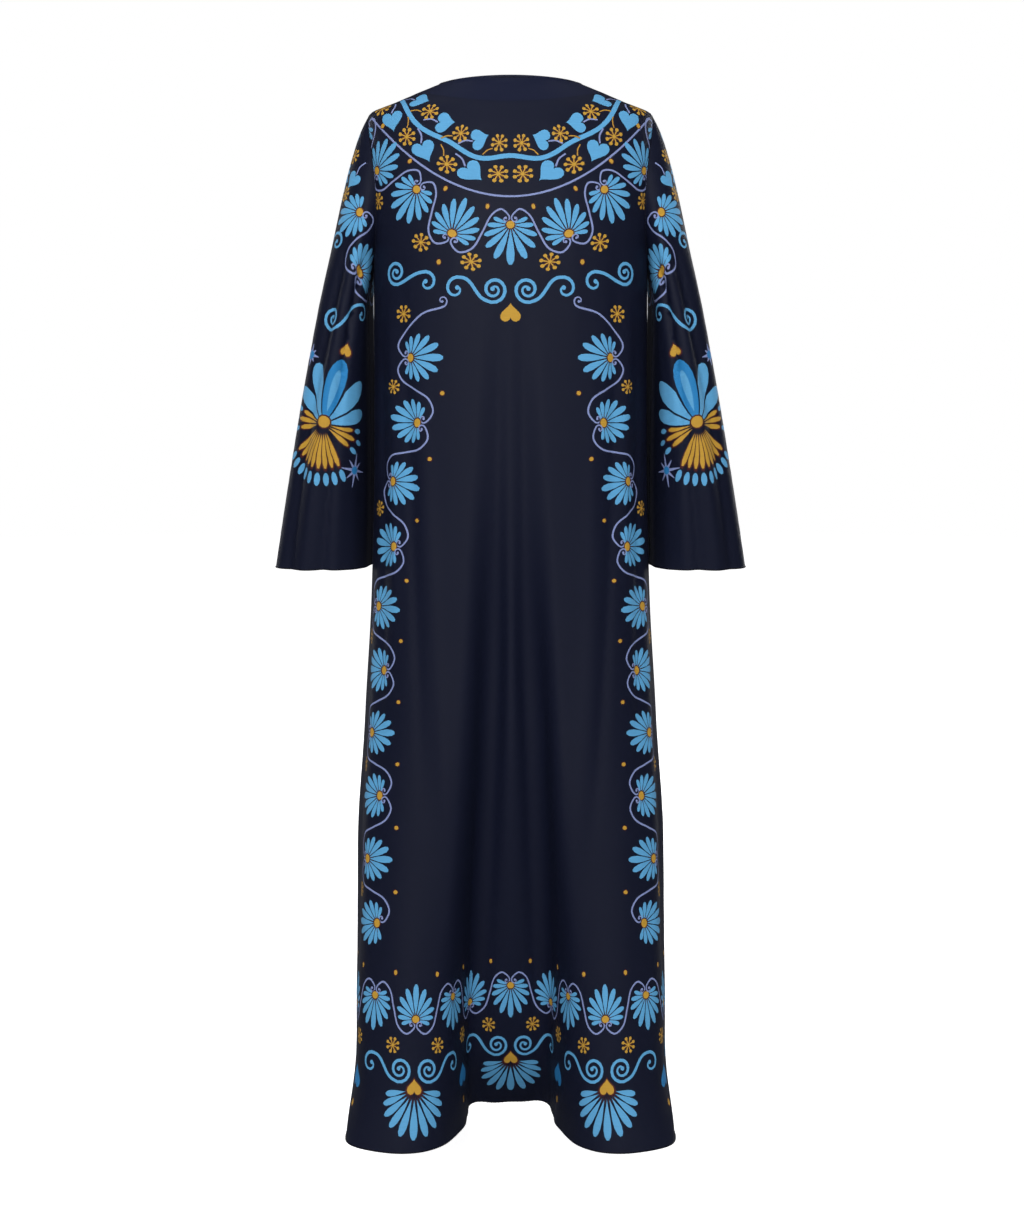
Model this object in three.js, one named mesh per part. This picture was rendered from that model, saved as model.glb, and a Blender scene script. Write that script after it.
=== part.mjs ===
// A long silk kaftan with set-in bell sleeves, in the hollow form that it has when it is worn.
// Millimetres, +Z up. The origin is where the shoulders hold it: midway between the two points
// where the shoulder seams meet the neck. The back panel faces -Y, the front panel faces +Y.
import * as THREE from "three";

// Driving dimensions
const wall = 1.5; // thickness of the cloth
const facingWall = 1.1; // thickness of the neck facings
const seamGap = 0.3; // between neighbouring pieces
const hemDrop = 1441; // shoulder neck point down to the hem
const shoulderDrop = 43; // shoulder neck point down to the shoulder point
const underarmDrop = 250; // shoulder neck point down to the underarm
const armholeTurn = THREE.MathUtils.degToRad(19); // how far the armhole cuts into the body's side
const backNeck = { dip: -4, roundness: 2 }; // the back neck edge rises above the shoulder neck points
const frontNeck = { dip: 85, roundness: 1.5 }; // the front neck edge is a round scoop below them
const neckSpread = { rate: 2, fade: 60 }; // rows near the neck run parallel to its edge
const cuff = { x: 258, y: 50, drop: 667, halfWidth: 72, halfDepth: 108, turn: 0.16 };
const cuffFlutes = { count: 5, phase: 0.8, height: 7 };
const sleeveTop = { leaveOut: 43, leaveDown: 60, arriveIn: 44 }; // how its outer line leaves and arrives
const sleeveUnder = { leaveOut: 8, leaveDown: 40, arriveIn: -4 }; // and the line below the underarm
const sleeveSpread = { atArmhole: 20, atCuff: 14, forward: 12, straight: 230 };
const sleeveRest = { clearance: 7, softness: 6, share: 0.3 }; // its inner side lies along the body

// Grid of each piece
const backColumns = 40;
const frontColumns = 32;
const armholeSteps = 12; // from the shoulder point to the underarm
const sleeveRows = 13;
const sleeveRowGrowth = 1.15; // its rows stand closer near the armhole
const columnDraw = 0.3; // a panel's columns stand closer near its centre line, where its folds are finest
const facingLevels = [0, 7, 14];
const shoulderLevels = [...facingLevels, 23, 33];
const bodyLevels = [300, 360, 430, 510, 600, 700, 800, 890, 970, 1050, 1130, 1210, 1290, 1370];

// Level sections of the worn body, from the neck down. power is 2 for an ellipse, more for a squarer one;
// hemShare is how far the section has opened out into the hem's own outline.
const sectionColumns = ["drop", "halfWidth", "backDepth", "frontDepth", "power", "hemShare"];
const sections = [
  [0, 95, 60, 56, 2.0, 0],
  [8, 116, 64, 58, 2.0, 0],
  [25, 156, 73, 63, 2.1, 0],
  [43, 195, 82, 68, 2.2, 0],
  [62, 197, 90, 74, 2.3, 0],
  [110, 196, 105, 91, 2.4, 0],
  [170, 193, 117, 113, 2.4, 0],
  [250, 190, 122, 127, 2.4, 0],
  [350, 190, 123, 131, 2.45, 0],
  [520, 191, 126, 133, 2.5, 0],
  [700, 196, 133, 138, 2.6, 0.02],
  [860, 206, 144, 148, 2.6, 0.06],
  [1050, 217, 162, 163, 2.7, 0.2],
  [1250, 219, 184, 183, 2.7, 0.47],
  [1350, 210, 194, 193, 2.7, 0.65],
  [1441, 197, 205, 205, 2.7, 1],
];

// The hollow down the middle of the back: depth at its bottom, where its two walls start and end,
// and the height of the ridge that stands in it on the centre line.
const ridgeFoot = 1.6; // half the ridge's width, as a multiple of inner
const hollowColumns = ["drop", "depth", "inner", "outer", "ridge"];
const hollowRows = [
  [300, 0, 10, 42, 0],
  [430, 6, 12, 46, 3],
  [645, 16, 14, 60, 8],
  [860, 28, 18, 70, 11],
  [1050, 33, 24, 82, 12],
  [1250, 22, 32, 104, 10],
  [1441, 0, 44, 112, 0],
];

// The hem's outline from the centre line to the side seam.
// The back has a deep hollow between two broad lobes.
const outlineColumns = ["x", "y"];
const backHem = [
  [0, -29],
  [28, -38],
  [50, -50],
  [61, -80],
  [68, -120],
  [77, -162],
  [93, -196],
  [119, -218],
  [150, -224],
  [188, -214],
  [212, -199],
  [225, -176],
  [227, -138],
  [213, -68],
  [197, 0],
];
const frontHem = [
  [0, 207],
  [30, 216],
  [58, 227],
  [86, 217],
  [112, 200],
  [138, 208],
  [163, 203],
  [182, 172],
  [186, 118],
  [190, 58],
  [197, 0],
];

const quarter = Math.PI / 2;

// Each row of a table as an object with its columns' names.
function named(columns, rows) {
  return rows.map((row) => Object.fromEntries(columns.map((name, i) => [name, row[i]])));
}

// A smooth reading of one column of a table at a value of its first column, without overshoot.
function reader(columns, rows) {
  const table = named(columns, rows);
  const key = columns[0];
  const slope = (a, b, column) => (b[column] - a[column]) / (b[key] - a[key]);
  const tangent = (i, column) => {
    if (i === 0) return slope(table[0], table[1], column);
    if (i === table.length - 1) return slope(table[i - 1], table[i], column);
    const before = slope(table[i - 1], table[i], column);
    const after = slope(table[i], table[i + 1], column);
    return before * after <= 0 ? 0 : (2 * before * after) / (before + after);
  };
  return (value, column) => {
    const at = THREE.MathUtils.clamp(value, table[0][key], table.at(-1)[key]);
    const i = Math.min(table.findLastIndex((row) => row[key] <= at), table.length - 2);
    const span = table[i + 1][key] - table[i][key];
    const t = (at - table[i][key]) / span;
    const [h1, h2] = [t * t * (3 - 2 * t), t * (1 - t) * (1 - t)];
    const h3 = t * t * (t - 1);
    return (
      table[i][column] * (1 - h1) +
      table[i + 1][column] * h1 +
      span * (h2 * tangent(i, column) + h3 * tangent(i + 1, column))
    );
  };
}

const section = reader(sectionColumns, sections);
const hollow = reader(hollowColumns, hollowRows);

// A smooth curve through an outline's points, read by the share of its length.
function outlineCurve(rows) {
  const points = named(outlineColumns, rows).map(({ x, y }) => new THREE.Vector3(x, y, 0));
  const mirrored = points.slice(1, 3).map(({ x, y }) => new THREE.Vector3(-x, y, 0));
  const curve = new THREE.CatmullRomCurve3([...mirrored.reverse(), ...points], false, "centripetal");
  curve.arcLengthDivisions = 600;
  const lengths = curve.getLengths();
  const start = curve.getPoints(600).findIndex((point) => point.x >= 0);
  const from = lengths[start] / lengths.at(-1);
  return (share) => curve.getPointAt(from + (1 - from) * share);
}

const sides = {
  back: {
    sign: -1,
    depth: "backDepth",
    neck: backNeck,
    hem: outlineCurve(backHem),
    columns: backColumns,
  },
  front: {
    sign: 1,
    depth: "frontDepth",
    neck: frontNeck,
    hem: outlineCurve(frontHem),
    columns: frontColumns,
  },
};

// How far below its level a point lies, because the neck edge dips and the rows near it run along it.
function neckDip({ neck }, angle, level) {
  const scoop = neck.dip * Math.abs(Math.cos(angle)) ** neck.roundness;
  const edge = scoop * Math.max(0, 1 - level / underarmDrop);
  const spread = neckSpread.rate * level * Math.exp(-level / neckSpread.fade);
  return edge + spread * Math.cos(angle) ** 2;
}

// How far the back stands in, at a distance x from its centre line.
function hollowAt(drop, x) {
  const side = THREE.MathUtils.smoothstep(x, hollow(drop, "inner"), hollow(drop, "outer"));
  const crest = 1 - THREE.MathUtils.smoothstep(x, 0, ridgeFoot * hollow(drop, "inner"));
  return hollow(drop, "depth") * (1 - side) - hollow(drop, "ridge") * crest;
}

// A point of the worn form. angle is 0 on the centre line and a quarter turn at the side seam,
// and level is the drop that its row has at the side or shoulder seam.
function form(side, angle, level) {
  const drop = level + neckDip(side, angle, level);
  const [reach, power] = [section(drop, "halfWidth"), section(drop, "power")];
  const x = Math.min(section(level, "halfWidth") * Math.abs(Math.sin(angle)), reach);
  const y = side.sign * section(drop, side.depth) * (1 - (x / reach) ** power) ** (1 / power);
  const point = new THREE.Vector3(Math.sign(angle) * x, y, -drop);
  const share = section(drop, "hemShare");
  if (share > 0) {
    const hem = side.hem(Math.min(1, Math.abs(angle) / quarter));
    point.x += Math.sign(angle) * (hem.x - x) * share;
    point.y += (hem.y - y) * share;
  }
  if (side.sign < 0) point.y += hollowAt(drop, Math.abs(point.x));
  return point;
}

// The form's outward normal. On the side seam it has no part along Y, so that the two panels meet flat.
function formNormal(side, angle, level) {
  const [turn, step] = [0.01, 2];
  const onSeam = Math.abs(angle) > quarter - 1e-6;
  const inward = onSeam ? Math.sign(angle) * turn : 0;
  const across = form(side, angle + turn - inward, level).sub(form(side, angle - turn - inward, level));
  const up = form(side, angle, Math.max(level - step, 0)).sub(form(side, angle, level + step));
  if (onSeam) across.x = 0;
  if (onSeam) up.y = 0;
  const normal = across.cross(up).normalize();
  return side.sign > 0 ? normal.negate() : normal;
}

// Where a panel ends at a level: the shoulder or side seam, or the armhole's edge between them.
function endAngle(level) {
  const along = (level - shoulderDrop) / (underarmDrop - shoulderDrop);
  const cut = along > 0 && along < 1 ? Math.sqrt(Math.sin(Math.PI * along)) : 0;
  return quarter - armholeTurn * cut;
}

const armholeLevel = (along) => shoulderDrop + (underarmDrop - shoulderDrop) * along;
const armholeLevels = Array.from({ length: armholeSteps + 1 }, (_, i) =>
  armholeLevel((1 - Math.cos((Math.PI * i) / armholeSteps)) / 2),
);
const panelLevels = [...shoulderLevels, ...armholeLevels, ...bodyLevels, hemDrop];

// One closed wall between an outer and an inner grid of points, each a list of rows.
// A closed grid joins its last column to its first, as on a tube.
function wallGeometry(outer, inner, closed) {
  const [rows, columns] = [outer.length, outer[0].length];
  const positions = [...outer.flat(), ...inner.flat()].flatMap((point) => point.toArray());
  const at = (layer, row, column) => layer * rows * columns + row * columns + (column % columns);
  const faces = [];
  const quad = (a, b, c, d) => faces.push(a, b, c, a, c, d);
  const last = closed ? columns : columns - 1;
  for (let row = 0; row < rows - 1; row++)
    for (let column = 0; column < last; column++) {
      const [right, below] = [column + 1, row + 1];
      quad(at(0, row, column), at(0, below, column), at(0, below, right), at(0, row, right));
      quad(at(1, row, column), at(1, row, right), at(1, below, right), at(1, below, column));
    }
  for (let column = 0; column < last; column++) {
    quad(at(0, 0, column), at(0, 0, column + 1), at(1, 0, column + 1), at(1, 0, column));
    const end = rows - 1;
    quad(at(0, end, column), at(1, end, column), at(1, end, column + 1), at(0, end, column + 1));
  }
  for (let row = 0; row < rows - 1 && !closed; row++) {
    quad(at(0, row, 0), at(1, row, 0), at(1, row + 1, 0), at(0, row + 1, 0));
    const end = columns - 1;
    quad(at(0, row, end), at(0, row + 1, end), at(1, row + 1, end), at(1, row, end));
  }
  const geometry = new THREE.BufferGeometry();
  geometry.setAttribute("position", new THREE.Float32BufferAttribute(positions, 3));
  geometry.setIndex(faces);
  return geometry;
}

// Turns a wall whose faces point inwards the right way round.
function facingOut(geometry) {
  const [position, index] = [geometry.getAttribute("position"), geometry.getIndex()];
  const corner = (i) => new THREE.Vector3().fromBufferAttribute(position, index.getX(i));
  let volume = 0;
  for (let i = 0; i < index.count; i += 3)
    volume += corner(i).dot(corner(i + 1).cross(corner(i + 2)));
  if (volume < 0) index.array.reverse();
  return geometry;
}

// Keeps a panel's point on its own side of the seam plane.
function clearOfSeam(side, point) {
  if (side.sign * point.y < seamGap / 2) point.y = (side.sign * seamGap) / 2;
  return point;
}

const drawn = (across) => across * (1 - columnDraw + columnDraw * across ** 2);

// A piece of a panel over some of its levels, between two depths inside the worn form.
function panelPiece(side, levels, depthOut, depthIn) {
  const grid = (depth) =>
    levels.map((level) =>
      Array.from({ length: side.columns + 1 }, (_, column) => {
        const angle = drawn((2 * column) / side.columns - 1) * endAngle(level);
        const inward = formNormal(side, angle, level).multiplyScalar(-depth);
        return clearOfSeam(side, form(side, angle, level).add(inward));
      }),
    );
  return facingOut(wallGeometry(grid(depthOut), grid(depthIn), false));
}

const panelGeometry = (side) => panelPiece(side, panelLevels, 0, wall);

// A facing lines the neck edge, one seam gap inside the panel.
function facingGeometry(side) {
  const depth = wall + seamGap;
  return panelPiece(side, facingLevels, depth, depth + facingWall);
}

// The armhole's edge as a loop: turn is 0 at the shoulder point and half a turn at the underarm.
function armholePoint(turn) {
  const side = Math.sin(turn) >= 0 ? sides.back : sides.front;
  const level = armholeLevel((1 - Math.cos(turn)) / 2);
  return form(side, endAngle(level), level);
}

function armholeNormal(turn) {
  const side = Math.sin(turn) >= 0 ? sides.back : sides.front;
  const level = armholeLevel((1 - Math.cos(turn)) / 2);
  return formNormal(side, endAngle(level), level);
}

// Where the sleeve starts: past the armhole's edge in the panel's own surface, and as far outside it.
function sleeveStart(turn) {
  const step = 0.02;
  const [point, normal] = [armholePoint(turn), armholeNormal(turn)];
  const edge = armholePoint(turn + step).sub(armholePoint(turn - step));
  const past = normal.clone().cross(edge).normalize();
  const middle = new THREE.Vector3(point.x, 0, -armholeLevel(0.5)).sub(point);
  past.multiplyScalar(Math.sign(past.dot(middle)));
  return point.addScaledVector(past.add(normal), seamGap);
}

// The cuff's edge as a loop with the same turn: its outer side is at 0 and its inner side at half a turn.
function cuffPoint(turn) {
  const outward = (1 + Math.cos(turn)) / 2;
  const flute = cuffFlutes.height * Math.cos(cuffFlutes.count * (turn - cuffFlutes.phase));
  const swell = 1 + (flute * outward) / cuff.halfDepth;
  const loop = new THREE.Vector3(cuff.halfWidth * Math.cos(turn), -cuff.halfDepth * Math.sin(turn), 0);
  loop.multiplyScalar(swell).applyAxisAngle(new THREE.Vector3(0, 0, 1), cuff.turn);
  return loop.add(new THREE.Vector3(cuff.x, cuff.y, -cuff.drop));
}

// How far the body reaches outwards at a place below the underarm.
function bodyReach(drop, y) {
  const depth = section(drop, y < 0 ? "backDepth" : "frontDepth");
  const power = section(drop, "power");
  return section(drop, "halfWidth") * (1 - Math.min(1, Math.abs(y) / depth) ** power) ** (1 / power);
}

// A point of the right sleeve: turn goes round it and share goes from the armhole to the cuff.
function sleevePoint(turn, share) {
  const start = sleeveStart(turn);
  const end = cuffPoint(turn);
  const top = (1 + Math.cos(turn)) / 2;
  const mixed = (name) => THREE.MathUtils.lerp(sleeveUnder[name], sleeveTop[name], top);
  const leaveBack = -sleeveSpread.atArmhole * Math.sin(turn);
  const leave = new THREE.Vector3(mixed("leaveOut"), leaveBack, -mixed("leaveDown"));
  const arriveBack = -sleeveSpread.atCuff * Math.sin(turn) - sleeveSpread.forward;
  const arrive = new THREE.Vector3(-mixed("arriveIn"), arriveBack, sleeveSpread.straight);
  const line = new THREE.CubicBezierCurve3(start, start.clone().add(leave), end.clone().add(arrive), end);
  const point = line.getPoint(share);
  const grown = THREE.MathUtils.smoothstep(share, 0, sleeveRest.share);
  const over = point.x - bodyReach(-point.z, point.y) - sleeveRest.clearance * grown;
  point.x += (Math.hypot(over, sleeveRest.softness * grown) - over) / 2;
  return point;
}

function sleeveNormal(turn, share) {
  const [turnStep, shareStep] = [0.02, 0.004];
  const around = sleevePoint(turn + turnStep, share).sub(sleevePoint(turn - turnStep, share));
  const above = THREE.MathUtils.clamp(share - shareStep, 0, 1 - 2 * shareStep);
  const along = sleevePoint(turn, above + 2 * shareStep).sub(sleevePoint(turn, above));
  return around.cross(along).normalize();
}

// mirror is 1 for the right sleeve and -1 for the left one.
function sleeveGeometry(mirror) {
  const columns = 2 * armholeSteps;
  const grid = (depth) =>
    Array.from({ length: sleeveRows + 1 }, (_, row) =>
      Array.from({ length: columns }, (_, column) => {
        const turn = (2 * Math.PI * column) / columns;
        const share = (row / sleeveRows) ** sleeveRowGrowth;
        const point = sleevePoint(turn, share).addScaledVector(sleeveNormal(turn, share), -depth);
        return point.setX(point.x * mirror);
      }),
    );
  return facingOut(wallGeometry(grid(0), grid(wall), true));
}

const silk = new THREE.MeshStandardMaterial({ color: "#22243a", roughness: 0.5, metalness: 0 });
const facingSilk = new THREE.MeshStandardMaterial({ color: "#282a40", roughness: 0.55, metalness: 0 });

function addPiece(group, name, geometry, material) {
  const mesh = new THREE.Mesh(geometry, material.clone());
  mesh.name = name;
  group.add(mesh);
}

const kaftan = new THREE.Group();
addPiece(kaftan, "back_panel", panelGeometry(sides.back), silk);
addPiece(kaftan, "front_panel", panelGeometry(sides.front), silk);
addPiece(kaftan, "right_sleeve", sleeveGeometry(1), silk);
addPiece(kaftan, "left_sleeve", sleeveGeometry(-1), silk);
addPiece(kaftan, "back_neck_facing", facingGeometry(sides.back), facingSilk);
addPiece(kaftan, "front_neck_facing", facingGeometry(sides.front), facingSilk);

export default kaftan;
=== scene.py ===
import math

import bpy
import numpy as np
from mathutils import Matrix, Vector
from mathutils.bvhtree import BVHTree
from mathutils.geometry import delaunay_2d_cdt


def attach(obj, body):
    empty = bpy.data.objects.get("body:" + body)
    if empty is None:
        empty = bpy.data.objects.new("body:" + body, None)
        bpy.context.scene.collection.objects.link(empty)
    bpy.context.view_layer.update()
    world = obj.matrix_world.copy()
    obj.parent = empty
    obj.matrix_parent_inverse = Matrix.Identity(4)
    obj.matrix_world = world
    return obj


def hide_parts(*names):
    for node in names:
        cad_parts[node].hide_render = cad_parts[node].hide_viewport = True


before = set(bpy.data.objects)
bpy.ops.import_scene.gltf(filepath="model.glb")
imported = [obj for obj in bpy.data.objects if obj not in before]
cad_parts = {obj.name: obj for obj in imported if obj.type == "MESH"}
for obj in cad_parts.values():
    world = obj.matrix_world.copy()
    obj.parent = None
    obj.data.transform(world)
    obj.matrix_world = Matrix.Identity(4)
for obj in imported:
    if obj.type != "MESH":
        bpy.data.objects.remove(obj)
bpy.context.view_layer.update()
scene = bpy.context.scene
mm = 0.001
quarter = math.pi / 2


# ---- camera, floor and light

studio = {
    "cameraPlace": (0.002, -2.8, -0.404),
    "cameraTilt": math.radians(90 - 6.76),
    "lens": 58.1,  # millimetres, as is the sensor
    "sensorHeight": 36,
    "hemLevel": -1.441,
    "floorBelowHem": 0.09,
    "floorRadius": 12.0,
    "floorSides": 64,
    "paperTone": "#F4F4F4",
    "flaggedTone": "#8A8A8A",
    "air": 0.46,  # how bright the room's soft light is
    "airInSheen": 0.08,  # how bright the cloth mirrors it
}


def linearColour(hexCode):
    channels = [int(hexCode[i : i + 2], 16) / 255 for i in (1, 3, 5)]
    return tuple(c / 12.92 if c <= 0.04045 else ((c + 0.055) / 1.055) ** 2.4 for c in channels) + (1.0,)


def addNode(tree, kind, settings=None, links=None):
    # links sends a value, a socket or another node's first output to each named or numbered input
    node = tree.nodes.new(kind)
    for name, value in (settings or {}).items():
        setattr(node, name, value)
    for name, value in (links or {}).items():
        if isinstance(value, bpy.types.Node):
            value = value.outputs[0]
        if isinstance(value, bpy.types.NodeSocket):
            tree.links.new(value, node.inputs[name])
        else:
            node.inputs[name].default_value = value
    return node


def scaled(tree, vector, factor):
    return addNode(tree, "ShaderNodeVectorMath", {"operation": "SCALE"}, {0: vector, "Scale": factor})


def multiplied(tree, first, second):
    return addNode(tree, "ShaderNodeMath", {"operation": "MULTIPLY"}, {0: first, 1: second})


def byRay(tree, kind, these, others):
    # these shade the rays of one kind, and others the rest
    isOne = addNode(tree, "ShaderNodeLightPath").outputs[f"Is {kind} Ray"]
    return addNode(tree, "ShaderNodeMixShader", links={0: isOne, 1: others, 2: these})


def newMaterial(name):
    material = bpy.data.materials.new(name)
    material.use_nodes = True
    material.node_tree.nodes.clear()
    return material, material.node_tree


def addObject(name, data):
    made = bpy.data.objects.new(name, data)
    scene.collection.objects.link(made)
    return made


def meshOf(name, points, faces, edges=()):
    # points are in millimetres, and the mesh is in metres
    mesh = bpy.data.meshes.new(name)
    mesh.from_pydata((points.reshape(-1, 3) * mm).tolist(), edges, faces)
    return mesh


def makeCamera():
    data = bpy.data.cameras.new("camera")
    data.sensor_fit = "VERTICAL"
    data.sensor_height = studio["sensorHeight"]
    data.lens = studio["lens"]
    camera = addObject("camera", data)
    camera.location = studio["cameraPlace"]
    camera.rotation_euler = (studio["cameraTilt"], 0, 0)
    scene.camera = camera


def makeFloor():
    # a wide round floor, a hand's width below the hem, because the garment hangs
    level = studio["hemLevel"] - studio["floorBelowHem"]
    radius, sides = studio["floorRadius"], studio["floorSides"]
    turns = [2 * math.pi * k / sides for k in range(sides)]
    rim = [(radius * math.cos(t), radius * math.sin(t), level) for t in turns]
    mesh = bpy.data.meshes.new("floor")
    mesh.from_pydata(rim, [], [tuple(range(sides))])
    floor = addObject("floor", mesh)
    # matt paper, lit white to the camera and darker to the cloth, as when black flags stand beside a set
    material, tree = newMaterial("matt white paper")
    paper = addNode(tree, "ShaderNodeBsdfPrincipled", links={
        "Base Color": linearColour(studio["paperTone"]),
        "Roughness": 0.9,
        "Specular IOR Level": 0.0,
        "Emission Color": (1, 1, 1, 1),
        "Emission Strength": 0.74,
    })
    flagged = addNode(tree, "ShaderNodeBsdfDiffuse", links={"Color": linearColour(studio["flaggedTone"])})
    addNode(tree, "ShaderNodeOutputMaterial", links={"Surface": byRay(tree, "Camera", paper, flagged)})
    mesh.materials.append(material)


def makeLights():
    # name: place, where it points, size across and up, power in watts
    softboxes = {
        "keySoftbox": ((-0.35, -3.4, 0.7), (0, 0, -0.65), (1.1, 2.4), 74),
        "rightSoftbox": ((1.6, -3.0, 0.2), (0.1, 0, -0.7), (0.9, 2.4), 22),
        "leftSoftbox": ((-1.9, -2.8, 0.2), (-0.1, 0, -0.7), (0.9, 2.4), 18),
        "rearSoftbox": ((0.3, 3.6, 0.3), (0, 0, -0.7), (1.3, 2.8), 34),
        "rearRightSoftbox": ((2.3, 2.3, 0.2), (0.1, 0, -0.7), (0.9, 2.4), 30),
        "rearLeftSoftbox": ((-2.5, 2.1, 0.0), (-0.1, 0, -0.7), (0.9, 2.4), 18),
        "topSoftbox": ((0, 0.3, 2.6), (0, 0, -1.5), (2.4, 2.0), 16),
    }
    for name, (place, aim, size, power) in softboxes.items():
        data = bpy.data.lights.new(name, "AREA")
        data.shape = "RECTANGLE"
        data.size, data.size_y = size
        data.energy = power
        lamp = addObject(name, data)
        lamp.location = place
        lamp.rotation_euler = (Vector(aim) - Vector(place)).to_track_quat("-Z", "Y").to_euler()
        lamp.visible_glossy = name != "rearSoftbox"  # no streaks on cloth seen edge on
    world = bpy.data.worlds.new("studio air")
    world.use_nodes = True
    tree = world.node_tree
    tree.nodes.clear()
    air, sheen, backdrop = (
        addNode(tree, "ShaderNodeBackground", links={"Color": (1, 1, 1, 1), "Strength": strength})
        for strength in (studio["air"], studio["airInSheen"], 1.0))
    onCloth = byRay(tree, "Glossy", sheen, air)
    addNode(tree, "ShaderNodeOutputWorld", links={"Surface": byRay(tree, "Camera", backdrop, onCloth)})
    scene.world = world
    scene.view_settings.view_transform = "Standard"


makeCamera()
makeFloor()
makeLights()
print("studio is set")


# ---- the cut: the worn form of the cloth, as in the solids

cut = {
    "hemDrop": 1441,
    "shoulderDrop": 43,
    "underarmDrop": 250,
    "armholeTurn": math.radians(19),
    "seamGap": 0.3,
    "clothThick": 0.8,
    "facingThick": 0.6,
    "facingBehind": 1.8,  # from the outer side of the panel to the facing
    "facingLevel": 14,
    "neckRate": 2,
    "neckFade": 60,
    "dyeThrough": 0.62,  # how much of a dye shows on the back of the cloth
}
sectionColumns = ["drop", "halfWidth", "backDepth", "frontDepth", "power", "hemShare"]
sections = [
    [0, 95, 60, 56, 2.0, 0],
    [8, 116, 64, 58, 2.0, 0],
    [25, 156, 73, 63, 2.1, 0],
    [43, 195, 82, 68, 2.2, 0],
    [62, 197, 90, 74, 2.3, 0],
    [110, 196, 105, 91, 2.4, 0],
    [170, 193, 117, 113, 2.4, 0],
    [250, 190, 122, 127, 2.4, 0],
    [350, 190, 123, 131, 2.45, 0],
    [520, 191, 126, 133, 2.5, 0],
    [700, 196, 133, 138, 2.6, 0.02],
    [860, 206, 144, 148, 2.6, 0.06],
    [1050, 217, 162, 163, 2.7, 0.2],
    [1250, 219, 184, 183, 2.7, 0.47],
    [1350, 210, 194, 193, 2.7, 0.65],
    [1441, 197, 205, 205, 2.7, 1],
]
ridgeFoot = 1.6
hollowColumns = ["drop", "depth", "inner", "outer", "ridge"]
hollowRows = [
    [300, 0, 10, 42, 0],
    [430, 6, 12, 46, 3],
    [645, 16, 14, 60, 8],
    [860, 28, 18, 70, 11],
    [1050, 33, 24, 82, 12],
    [1250, 22, 32, 104, 10],
    [1441, 0, 44, 112, 0],
]
backHem = [
    [0, -29], [28, -38], [50, -50], [61, -80], [68, -120], [77, -162], [93, -196], [119, -218],
    [150, -224], [188, -214], [212, -199], [225, -176], [227, -138], [213, -68], [197, 0],
]
frontHem = [
    [0, 207], [30, 216], [58, 227], [86, 217], [112, 200], [138, 208], [163, 203], [182, 172],
    [186, 118], [190, 58], [197, 0],
]


def smoothStep(x, low, high):
    t = np.clip((x - low) / (high - low), 0, 1)
    return t * t * (3 - 2 * t)


def reader(columns, rows):
    # smooth reading of a column at a value of the first one, without overshoot
    table = np.array(rows, float)
    key = table[:, 0]
    slopes = np.diff(table, axis=0) / np.diff(key)[:, None]
    tangents = np.zeros_like(table)
    tangents[0], tangents[-1] = slopes[0], slopes[-1]
    product = slopes[:-1] * slopes[1:]
    total = slopes[:-1] + slopes[1:]
    tangents[1:-1] = np.where(product > 0, 2 * product / np.where(product > 0, total, 1), 0)

    def read(value, column):
        k = columns.index(column)
        at = np.clip(value, key[0], key[-1])
        i = np.clip(np.searchsorted(key, at, side="right") - 1, 0, len(key) - 2)
        span = key[i + 1] - key[i]
        t = (at - key[i]) / span
        h1 = t * t * (3 - 2 * t)
        bend = t * (1 - t) ** 2 * tangents[i, k] + t * t * (t - 1) * tangents[i + 1, k]
        return table[i, k] * (1 - h1) + table[i + 1, k] * h1 + span * bend

    return read


section = reader(sectionColumns, sections)
hollow = reader(hollowColumns, hollowRows)


def hermite(start, end, leave, arrive, t):
    return ((2 * t**3 - 3 * t**2 + 1) * start + (t**3 - 2 * t**2 + t) * leave
            + (3 * t**2 - 2 * t**3) * end + (t**3 - t**2) * arrive)


def smoothCurve(points, perSpan):
    # centripetal Catmull-Rom through the points
    points = np.array(points, float)
    padded = np.concatenate([[2 * points[0] - points[1]], points, [2 * points[-1] - points[-2]]])
    line = []
    for p0, p1, p2, p3 in zip(padded, padded[1:], padded[2:], padded[3:]):
        d0, d1, d2 = (np.linalg.norm(b - a) ** 0.5 for a, b in ((p0, p1), (p1, p2), (p2, p3)))
        m1 = d1 * ((p1 - p0) / d0 - (p2 - p0) / (d0 + d1) + (p2 - p1) / d1)
        m2 = d1 * ((p2 - p1) / d1 - (p3 - p1) / (d1 + d2) + (p3 - p2) / d2)
        t = np.linspace(0, 1, perSpan, endpoint=False)[:, None]
        line.append(hermite(p1, p2, m1, m2, t))
    return np.concatenate(line + [points[-1:]])


def lengthAlong(line):
    return np.concatenate([[0], np.cumsum(np.linalg.norm(np.diff(line, axis=0), axis=1))])


def outlineCurve(rows, perSpan=200):
    # half a hem's outline by its length, from the middle to the side
    across = [[-x, y] for x, y in rows[2:0:-1]]
    line = smoothCurve(across + rows, perSpan)[len(across) * perSpan :]
    share = lengthAlong(line)
    share /= share[-1]
    return lambda at: (np.interp(at, share, line[:, 0]), np.interp(at, share, line[:, 1]))


sides = {
    "back": {"sign": -1, "depth": "backDepth", "dip": -4, "roundness": 2.0, "hem": outlineCurve(backHem)},
    "front": {"sign": 1, "depth": "frontDepth", "dip": 85, "roundness": 1.5, "hem": outlineCurve(frontHem)},
}


def neckDip(side, angle, level):
    scoop = side["dip"] * np.abs(np.cos(angle)) ** side["roundness"]
    spread = cut["neckRate"] * level * np.exp(-level / cut["neckFade"])
    return scoop * np.maximum(0, 1 - level / cut["underarmDrop"]) + spread * np.cos(angle) ** 2


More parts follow.
